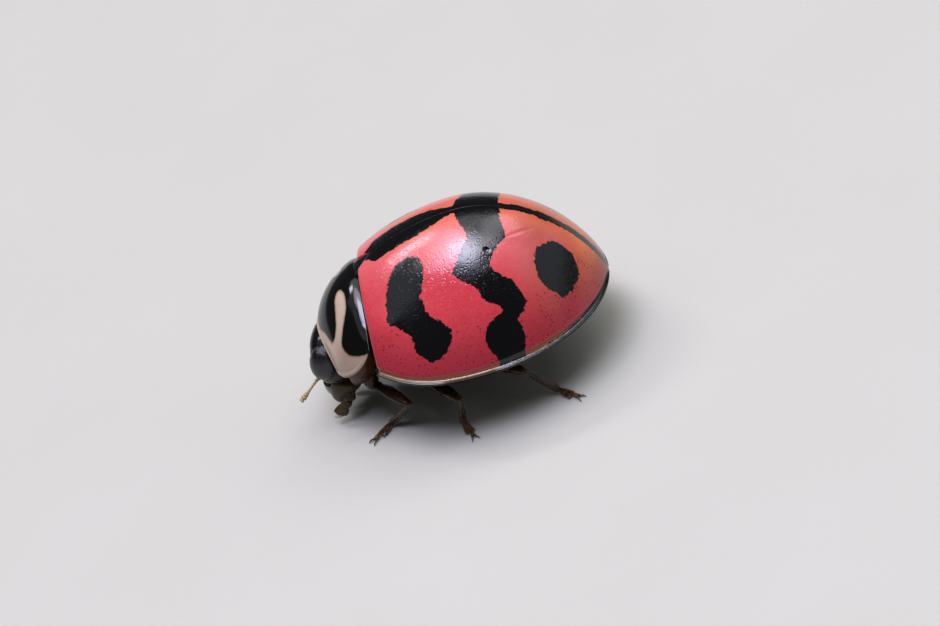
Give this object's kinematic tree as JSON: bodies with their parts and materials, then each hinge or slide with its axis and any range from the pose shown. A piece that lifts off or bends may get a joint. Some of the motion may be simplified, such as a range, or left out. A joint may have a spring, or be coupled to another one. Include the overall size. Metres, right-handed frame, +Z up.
{
  "type": "ladybird beetle model",
  "caption": "Life-size still model of a zigzag ladybird standing on its feet, head low, with marked wing cases and shield.",
  "frame": {"origin": "on the floor, under the middle of the body", "axes": "head towards -Y, the beetle's left side +X, +Z up"},
  "size_m": [0.0048, 0.0069, 0.004],
  "materials": {
    "wing_case": "hard glossy wing case, pink-red with a black seam, a zigzag band, a bent front mark and a rear spot",
    "shield": "glossy black plate with cream side patches and a thin cream front border",
    "head": "black to dark brown horn with a cream face, half gloss, finely pitted",
    "eye": "black faceted eye, wet gloss",
    "underside": "black-brown horn plates with amber sides, half gloss",
    "leg": "dark reddish brown horn, half gloss, with fine pale hairs",
    "feeler": "pale yellow-brown, satin, the club darker"
  },
  "bodies": {
    "root": {"scutellum": "shield", "pronotum": "shield", "prosternum": "underside", "thorax": "underside", "abdomen": "underside", "head": "head", "labrum": "head", "elytron_left": "wing_case", "eye_left": "eye", "palp_left": "leg", "antenna_left": "feeler", "front_leg_left_femur": "leg", "front_leg_left_tibia": "leg", "front_leg_left_tarsus": "leg", "middle_leg_left_femur": "leg", "middle_leg_left_tibia": "leg", "middle_leg_left_tarsus": "leg", "hind_leg_left_femur": "leg", "hind_leg_left_tibia": "leg", "hind_leg_left_tarsus": "leg", "elytron_right": "wing_case", "eye_right": "eye", "palp_right": "leg", "antenna_right": "feeler", "front_leg_right_femur": "leg", "front_leg_right_tibia": "leg", "front_leg_right_tarsus": "leg", "middle_leg_right_femur": "leg", "middle_leg_right_tibia": "leg", "middle_leg_right_tarsus": "leg", "hind_leg_right_femur": "leg", "hind_leg_right_tibia": "leg", "hind_leg_right_tarsus": "leg"}
  },
  "joints": []
}
